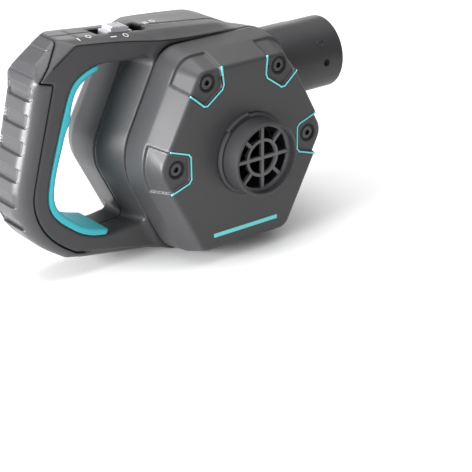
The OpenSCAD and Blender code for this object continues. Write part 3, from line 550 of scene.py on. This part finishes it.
# ---------------------------------------------------------------------------------------------
# Materials
# ---------------------------------------------------------------------------------------------


def new_material(name, colour, rough, metallic=0.0, specular=0.5):
    material = bpy.data.materials.new(name)
    material.use_nodes = True
    shader = material.node_tree.nodes["Principled BSDF"]
    shader.inputs["Base Color"].default_value = (*colour, 1)
    shader.inputs["Roughness"].default_value = rough
    shader.inputs["Metallic"].default_value = metallic
    shader.inputs["Specular IOR Level"].default_value = specular
    return material, material.node_tree, shader


def grain(tree, shader, scale, depth, colour, spread, rough, rough_spread):
    """Moulded grain: fine bump, with colour and roughness drifting over broader patches."""
    links, make = tree.links, tree.nodes.new
    place = make("ShaderNodeTexCoord")
    fine = make("ShaderNodeTexNoise")
    fine.inputs["Scale"].default_value = scale
    fine.inputs["Detail"].default_value = 3.0
    links.new(place.outputs["Object"], fine.inputs["Vector"])
    bump = make("ShaderNodeBump")
    bump.inputs["Strength"].default_value = 1.0
    bump.inputs["Distance"].default_value = depth
    links.new(fine.outputs["Fac"], bump.inputs["Height"])
    links.new(bump.outputs["Normal"], shader.inputs["Normal"])
    broad = make("ShaderNodeTexNoise")
    broad.inputs["Scale"].default_value = 22
    broad.inputs["Detail"].default_value = 2
    links.new(place.outputs["Object"], broad.inputs["Vector"])
    ramp = make("ShaderNodeMapRange")
    ramp.inputs["From Min"].default_value = 0.3
    ramp.inputs["From Max"].default_value = 0.7
    ramp.inputs["To Min"].default_value = rough - rough_spread
    ramp.inputs["To Max"].default_value = rough + rough_spread
    links.new(broad.outputs["Fac"], ramp.inputs["Value"])
    links.new(ramp.outputs["Result"], shader.inputs["Roughness"])
    tint = make("ShaderNodeMixRGB")
    tint.inputs["Color1"].default_value = (*[c * (1 - spread) for c in colour], 1)
    tint.inputs["Color2"].default_value = (*[c * (1 + spread) for c in colour], 1)
    links.new(fine.outputs["Fac"], tint.inputs["Fac"])
    links.new(tint.outputs["Color"], shader.inputs["Base Color"])


def plastic(name, colour, rough, scale=1400, depth=0.00006, spread=0.12, specular=0.5):
    material, tree, shader = new_material(name, colour, rough, 0.0, specular)
    grain(tree, shader, scale, depth, colour, spread, rough, 0.05)
    return material


def metal(name, colour, rough):
    material, tree, shader = new_material(name, colour, rough, 1.0)
    grain(tree, shader, 900, 0.00002, colour, 0.08, rough, 0.08)
    return material


shell_plastic = plastic("moulded_charcoal", (0.034, 0.034, 0.036), 0.4, specular=0.38)
grip_plastic = plastic("grip_grey", (0.042, 0.042, 0.045), 0.34, scale=1100, specular=0.45)
port_plastic = plastic("port_charcoal", (0.026, 0.026, 0.028), 0.38, specular=0.35)
grille_plastic = plastic("grille_grey", (0.1, 0.1, 0.105), 0.45, specular=0.35)
teal_soft = plastic("teal_soft_touch", (0.03, 0.34, 0.40), 0.55, scale=2200, depth=0.00004, spread=0.1)
teal_line = plastic("teal_line", (0.13, 0.55, 0.57), 0.45, depth=0.00001)
mark_print = plastic("mark_print", (0.6, 0.6, 0.61), 0.5, specular=0.3, depth=0.00001)
knob_plastic = plastic("knob_light_grey", (0.36, 0.36, 0.375), 0.45, specular=0.3, depth=0.00002)
# Gloss black: the real colour of the switch parts and cord clamp, and also the paint of the painted shade
# pieces (well rings, pocket edge strips, deck crease, notch, latch cup).
black_plastic_and_shade = plastic("gloss_black_and_painted_shade", (0.004, 0.004, 0.004), 0.4, depth=0.00001, specular=0.2)
# Volute and impeller: dark plastic, made near black so that the inside seen through the grille carries
# painted shade.
blower_black_and_shade = plastic("blower_black_and_painted_shade", (0.01, 0.01, 0.011), 0.45)
impeller_black_and_shade = plastic("impeller_black_and_painted_shade", (0.014, 0.014, 0.015), 0.4)
white_plastic = plastic("case_white", (0.5, 0.51, 0.53), 0.4)
black_rubber = plastic("black_rubber", (0.012, 0.012, 0.012), 0.7)
board_green = plastic("board_green", (0.03, 0.12, 0.05), 0.4)
yellow_case = plastic("yellow_case", (0.5, 0.4, 0.06), 0.35)
wire_jacket = plastic("wire_jacket", (0.2, 0.02, 0.02), 0.4)
label_metal = metal("label_metal", (0.3, 0.305, 0.315), 0.5)
screw_metal = metal("screw_metal", (0.075, 0.075, 0.078), 0.4)
steel = metal("turned_steel", (0.55, 0.56, 0.58), 0.28)
lamination = metal("lamination", (0.24, 0.24, 0.25), 0.5)
copper = metal("enamelled_copper", (0.55, 0.22, 0.1), 0.35)
alloy = metal("cast_alloy", (0.5, 0.51, 0.53), 0.45)
brass = metal("brass", (0.6, 0.42, 0.16), 0.3)
carbon = plastic("carbon", (0.02, 0.02, 0.022), 0.55)

CAD_FINISH = {
    "plate_trim": teal_line, "inlet_collar": port_plastic, "inlet_grille": grille_plastic,
    "outlet_tube": port_plastic, "cover_screws": screw_metal, "housing_screws": screw_metal,
    "switch_plate": black_plastic_and_shade, "switch_knob": knob_plastic, "switch_body": black_plastic_and_shade,
    "switch_wiper": brass, "volute": blower_black_and_shade, "volute_back": blower_black_and_shade,
    "impeller": impeller_black_and_shade, "impeller_nut": steel, "shaft": steel, "front_bearing": steel,
    "rear_bearing": steel, "armature_core": lamination, "armature_windings": copper,
    "commutator": copper, "stator_core": lamination, "field_coils": copper, "front_bracket": alloy,
    "rear_bracket": alloy, "motor_screws": steel, "brush_holders": brass, "brushes": carbon,
    "brush_springs": steel, "motor_mount": black_rubber, "circuit_board": board_green,
    "capacitor": yellow_case, "thermal_cutout": white_plastic, "leads": wire_jacket,
    "cord_gland": black_rubber, "cord_clamp": black_plastic_and_shade, "clamp_screws": screw_metal,
    "rating_plate": label_metal,
}
for node_name, finish in CAD_FINISH.items():
    data = nodes[node_name].data
    data.materials.clear()
    data.materials.append(finish)


# ---------------------------------------------------------------------------------------------
# Pieces
# ---------------------------------------------------------------------------------------------


def finish_piece(piece, material, body, node):
    piece.data.materials.append(material)
    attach(piece, body)
    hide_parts(node)


cover = mesh_field("front_cover_shell", cover_field, (-80, PLATE_Y, -1), (80, SEAM_Y, 150), SHELL_CELL)
finish_piece(cover, shell_plastic, "body", "front_cover")
front_half = mesh_field("front_housing_shell", front_half_field, (-145, SEAM_Y, -1), (90, 0, 163), SHELL_CELL)
finish_piece(front_half, shell_plastic, "body", "front_housing")
rear_half = mesh_field("rear_housing_shell", rear_half_field, (-145, 0, -1), (90, REAR_Y, 163), REAR_CELL)
finish_piece(rear_half, shell_plastic, "body", "rear_housing")
grip = mesh_field("grip_shell", grip_field, (-155, -HANDLE_HALF, 10), (-105, HANDLE_HALF, 162), GRIP_CELL)
finish_piece(grip, grip_plastic, "body", "grip_cover")
liner = mesh_field("soft_liner", liner_field, LINER_LOW, LINER_HIGH, LINER_CELL)
finish_piece(liner, teal_soft, "body", "handle_liner")


def make_piece(name, verts, faces, smooth=True):
    """A mesh piece from points in millimetres."""
    mesh = bpy.data.meshes.new(name)
    mesh.from_pydata([tuple(float(c) * MM for c in v) for v in verts], [], faces)
    mesh.validate()
    work = bmesh.new()
    work.from_mesh(mesh)
    bmesh.ops.recalc_face_normals(work, faces=work.faces)
    work.to_mesh(mesh)
    work.free()
    if smooth:
        mesh.shade_smooth()
    piece = bpy.data.objects.new(name, mesh)
    bpy.context.scene.collection.objects.link(piece)
    return piece


def lathe_shape(profile, centre, axis, steps=72):
    """Closed ring of (radius, depth) points turned about an axis through a centre."""
    axis = Vector(axis)
    side = axis.orthogonal().normalized()
    other = axis.cross(side)
    verts, faces = [], []
    count = len(profile)
    for i in range(steps):
        angle = 2 * math.pi * i / steps
        out = side * math.cos(angle) + other * math.sin(angle)
        for radius, depth in profile:
            verts.append(tuple(Vector(centre) + out * radius + axis * depth))
        for j in range(count):
            a, b = i * count, (i + 1) % steps * count
            faces.append((a + j, b + j, b + (j + 1) % count, a + (j + 1) % count))
    return verts, faces


def tube_shape(points, radius, steps=8):
    """Round bar along a line of points, closed at both ends."""
    verts, faces = [], []
    points = [Vector(p) for p in points]
    for i, point in enumerate(points):
        ahead = points[min(i + 1, len(points) - 1)] - points[max(i - 1, 0)]
        side = ahead.cross(Vector((0.2, 0.3, 1))).normalized()
        other = ahead.cross(side).normalized()
        for k in range(steps):
            angle = 2 * math.pi * k / steps
            verts.append(tuple(point + (side * math.cos(angle) + other * math.sin(angle)) * radius))
        if i:
            a, b = (i - 1) * steps, i * steps
            faces += [(a + k, a + (k + 1) % steps, b + (k + 1) % steps, b + k) for k in range(steps)]
    last = (len(points) - 1) * steps
    faces.append(tuple(range(steps)))
    faces.append(tuple(range(last + steps - 1, last - 1, -1)))
    return verts, faces


def block_shape(corners, drop):
    """Slab between an outline of points and the same outline moved by drop."""
    count = len(corners)
    verts = [tuple(c) for c in corners] + [tuple(Vector(c) + Vector(drop)) for c in corners]
    faces = [tuple(range(count)), tuple(range(2 * count - 1, count - 1, -1))]
    faces += [(i, (i + 1) % count, count + (i + 1) % count, count + i) for i in range(count)]
    return verts, faces


def join_shapes(shapes):
    verts, faces = [], []
    for part_verts, part_faces in shapes:
        base = len(verts)
        verts += part_verts
        faces += [tuple(base + i for i in face) for face in part_faces]
    return verts, faces


def onto_surface(field, points, rounds=8):
    """Move points along a field's slope until they lie on its surface."""
    points = np.array(points, float)
    for _ in range(rounds):
        value = field(*points.T)
        slope = field_slope(field, points, SLOPE_STEP)
        points = points - value[:, None] * slope / np.maximum((slope ** 2).sum(-1, keepdims=True), 0.1)
    return points


def add_trim(name, shape, material, smooth=True):
    """A small fixed piece that the CAD model doesn't have."""
    piece = make_piece(name, *shape, smooth=smooth)
    piece.data.materials.append(material)
    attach(piece, "body")


# Black rings lining the four corner screw wells: painted shade deep in each well.
WELL_SHADOW_Y = PLATE_Y + 1.75
WELL_SHADOW_PROFILE = [(4.35, 0.0), (5.15, 0.0), (6.0, -0.35), (6.3, -0.1), (6.3, 0.5), (5.5, 4.2), (4.35, 4.2)]
well_shadow_rings = [lathe_shape(WELL_SHADOW_PROFILE, (x, WELL_SHADOW_Y, z), (0, 1, 0)) for x, z in CORNER_SCREWS]
add_trim("screw_well_shadow_rings", join_shapes(well_shadow_rings), black_plastic_and_shade)

# Flat black strip of painted shadow that runs beside the coloured outlines of the corner pockets, about the
# drum centre.
SHADOW_LINE_HALF, SHADOW_LINE_LIFT, SHADOW_LINE_DEPTH = 1.05, 0.06, 0.5
SIDE_EDGE = [(59, 13.3), (46.3, 8.9), (44.5, 6.6), (44.5, -8.7), (46.3, -11.2), (58.4, -15.1)]
UPPER_EDGE = [(19.0, 56), (17.4, 50), (18.6, 47), (30.6, 38.4), (33.4, 38.6), (43.4, 47)]


def strip_shape(path, half, y_front, y_back):
    """Flat ribbon along a line in the front view, with mitred corners."""
    path = [np.array(p, float) for p in path]
    left, right = [], []
    for i, point in enumerate(path):
        before = path[i] - path[max(i - 1, 0)]
        after = path[min(i + 1, len(path) - 1)] - path[i]
        along = [v / np.linalg.norm(v) for v in (before, after) if np.linalg.norm(v) > 0]
        mean = sum(along) / np.linalg.norm(sum(along))
        wide = half / max(float(mean @ along[0]), 0.5)
        side = np.array([-mean[1], mean[0]]) * wide
        left.append(point + side)
        right.append(point - side)
    shapes = []
    for i in range(len(path) - 1):
        corners = [(c[0], y_front, c[1] + DRUM_Z) for c in (left[i], left[i + 1], right[i + 1], right[i])]
        shapes.append(block_shape(corners, (0, y_back - y_front, 0)))
    return join_shapes(shapes)


shadow_lines = []
for mirror in (1, -1):
    for edge in (SIDE_EDGE, UPPER_EDGE):
        path = [(mirror * px, pz) for px, pz in edge]
        shadow_lines.append(strip_shape(path, SHADOW_LINE_HALF, PLATE_Y - SHADOW_LINE_LIFT, PLATE_Y + SHADOW_LINE_DEPTH))
add_trim("outline_painted_shadow", join_shapes(shadow_lines), black_plastic_and_shade, smooth=False)

# Black line of painted shade in the crease along the front edge of the deck and down the corner facet.
crease_shadow_path = [(-121.5, -19, 145.9), (-120.6, -19, 146.6), (-112, -19, 152.4), (-103.7, -19, 158.1)]
crease_shadow_path += [(x, -float(np.interp(x, DECK_X, FRONT_EDGE)),
                 deck_height(x) - float(np.interp(x, DECK_X, FRONT_DROP))) for x in range(-100, 12, 4)]
CREASE_SHADOW_R = 0.32
crease_shadow = tube_shape(onto_surface(body_field, crease_shadow_path), CREASE_SHADOW_R)
add_trim("deck_crease_shadow", crease_shadow, black_plastic_and_shade)


MARK_LIFT, MARK_THICK = 0.1, 0.45
OVAL_X, OVAL_Y, OVAL_INNER = 1.9, 2.3, 0.72


def deck_patch(outline):
    """Thin slab that follows the deck under an outline of (x, y) points."""
    top = onto_surface(body_field, [(x, y, deck_height(x)) for x, y in outline])
    return block_shape(top + np.array([0, 0, MARK_LIFT]), (0, 0, -MARK_THICK))


def deck_bar(x, y, half_x, half_y):
    corners = ((-1, -1), (1, -1), (1, 1), (-1, 1))
    return deck_patch([(x + side_x * half_x, y + side_y * half_y) for side_x, side_y in corners])


def deck_oval(x, y, steps=24):
    """Open oval mark around a point of the deck."""
    shapes = []
    for i in range(steps):
        quad = []
        for corner, scale in ((i, 1), (i + 1, 1), (i + 1, OVAL_INNER), (i, OVAL_INNER)):
            turn = 2 * math.pi * corner / steps
            quad.append((x + OVAL_X * scale * math.cos(turn), y + OVAL_Y * scale * math.sin(turn)))
        shapes.append(deck_patch(quad))
    return join_shapes(shapes)


# Position marks beside the switch: a bar, a dash and two bars, each with an open oval.
marks = [deck_bar(-97, -11.8, 0.45, 2.2), deck_oval(-88.5, -9.6),
         deck_bar(-71.5, -13.2, 2.2, 0.5), deck_oval(-62, -12.6),
         deck_bar(-38, 2.6, 0.45, 2.2), deck_bar(-35.6, 3.2, 0.45, 2.2), deck_oval(-29, 6)]
add_trim("switch_marks", join_shapes(marks), mark_print, smooth=False)

# Black patch of painted shade for a small notch on the parting line of the deck.
add_trim("parting_notch_shadow", deck_bar(3.0, 0.3, 1.6, 0.9), black_plastic_and_shade, smooth=False)

# Black cup at the bottom of the latch recess in the outlet tube: painted shade of the deep hole.
LATCH_SHADOW_PROFILE = [(0.05, 0), (2.55, 0), (2.55, -1.0), (2.25, -1.0), (2.1, -0.3), (0.05, -0.3)]
LATCH_SHADOW_DEPTH = 1.35
latch_shadow = lathe_shape(LATCH_SHADOW_PROFILE, (LATCH_X, -TUBE_R + LATCH_SHADOW_DEPTH, TUBE_Z), (0, 1, 0), 40)
add_trim("latch_shadow_cup", latch_shadow, black_plastic_and_shade)

# Small raised oval on the outlet tube: its place along and around the tube, its half sizes, the
# thickness of its bar and the radius it lies on.
TUBE_OVAL_X, TUBE_OVAL_TURN = 93.9, math.radians(32.7)
TUBE_OVAL_HALF_X, TUBE_OVAL_HALF_TURN, TUBE_OVAL_BAR = 3.2, 0.075, 0.38
TUBE_OVAL_R = TUBE_R + 0.05
oval = []
for i in range(49):
    turn = 2 * math.pi * i / 48
    around = TUBE_OVAL_TURN + TUBE_OVAL_HALF_TURN * math.sin(turn)
    oval.append((TUBE_OVAL_X + TUBE_OVAL_HALF_X * math.cos(turn),
                 -TUBE_OVAL_R * math.cos(around), TUBE_Z + TUBE_OVAL_R * math.sin(around)))
add_trim("tube_oval", tube_shape(oval, TUBE_OVAL_BAR), port_plastic)

# ---------------------------------------------------------------------------------------------
# Stage, lights and camera
# ---------------------------------------------------------------------------------------------
FLOOR = 4.0
floor_corners = [(-FLOOR, -FLOOR, 0), (FLOOR, -FLOOR, 0), (FLOOR, FLOOR, 0), (-FLOOR, FLOOR, 0)]
floor_mesh = bpy.data.meshes.new("floor")
floor_mesh.from_pydata(floor_corners, [], [(0, 1, 2, 3)])
floor = bpy.data.objects.new("floor", floor_mesh)
bpy.context.scene.collection.objects.link(floor)
floor_paint, _, _ = new_material("floor_white", (0.72, 0.72, 0.72), 0.8, specular=0.2)
floor_mesh.materials.append(floor_paint)

world = bpy.data.worlds.new("studio")
bpy.context.scene.world = world
world.use_nodes = True
world.node_tree.nodes["Background"].inputs["Color"].default_value = (1, 1, 1, 1)
world.node_tree.nodes["Background"].inputs["Strength"].default_value = 0.5


def area_light(name, place, aim, size, power):
    data = bpy.data.lights.new(name, "AREA")
    data.shape = "RECTANGLE"
    data.size, data.size_y = size
    data.energy = power
    lamp = bpy.data.objects.new(name, data)
    bpy.context.scene.collection.objects.link(lamp)
    lamp.location = place
    lamp.rotation_euler = (Vector(aim) - Vector(place)).to_track_quat("-Z", "Y").to_euler()


area_light("key_left", (-1.3, -0.02, 0.32), (-0.02, 0, 0.09), (0.9, 0.5), 52)
area_light("top_soft", (0.0, 0.1, 1.5), (0, 0, 0.1), (1.8, 1.6), 32)
area_light("back_soft", (0.6, 1.1, 0.42), (-0.1, 0, 0.14), (0.8, 0.4), 2.2)
bpy.context.scene.view_settings.view_transform = "Standard"

VIEW_AZIMUTH = math.radians(37.778)
VIEW_ELEVATION = math.radians(24.098)
VIEW_ROLL = math.radians(-0.407)
VIEW_DISTANCE = 1.0562
VIEW_AIM = Vector((-0.0187, -0.0697, 0.0228))
VIEW_LENS, VIEW_SENSOR, VIEW_END = 121.92, 36, 20
forward = Vector((math.sin(VIEW_AZIMUTH) * math.cos(VIEW_ELEVATION),
                  math.cos(VIEW_AZIMUTH) * math.cos(VIEW_ELEVATION), -math.sin(VIEW_ELEVATION)))
level = Vector((math.cos(VIEW_AZIMUTH), -math.sin(VIEW_AZIMUTH), 0))
upright = level.cross(forward)
right = level * math.cos(VIEW_ROLL) + upright * math.sin(VIEW_ROLL)
up = upright * math.cos(VIEW_ROLL) - level * math.sin(VIEW_ROLL)
camera_data = bpy.data.cameras.new("camera")
camera_data.lens = VIEW_LENS
camera_data.sensor_width = VIEW_SENSOR
camera_data.clip_end = VIEW_END
camera = bpy.data.objects.new("camera", camera_data)
bpy.context.scene.collection.objects.link(camera)
camera.matrix_world = Matrix((
    (right.x, up.x, -forward.x, 0),
    (right.y, up.y, -forward.y, 0),
    (right.z, up.z, -forward.z, 0),
    (0, 0, 0, 1),
))
camera.location = VIEW_AIM - forward * VIEW_DISTANCE
bpy.context.scene.camera = camera
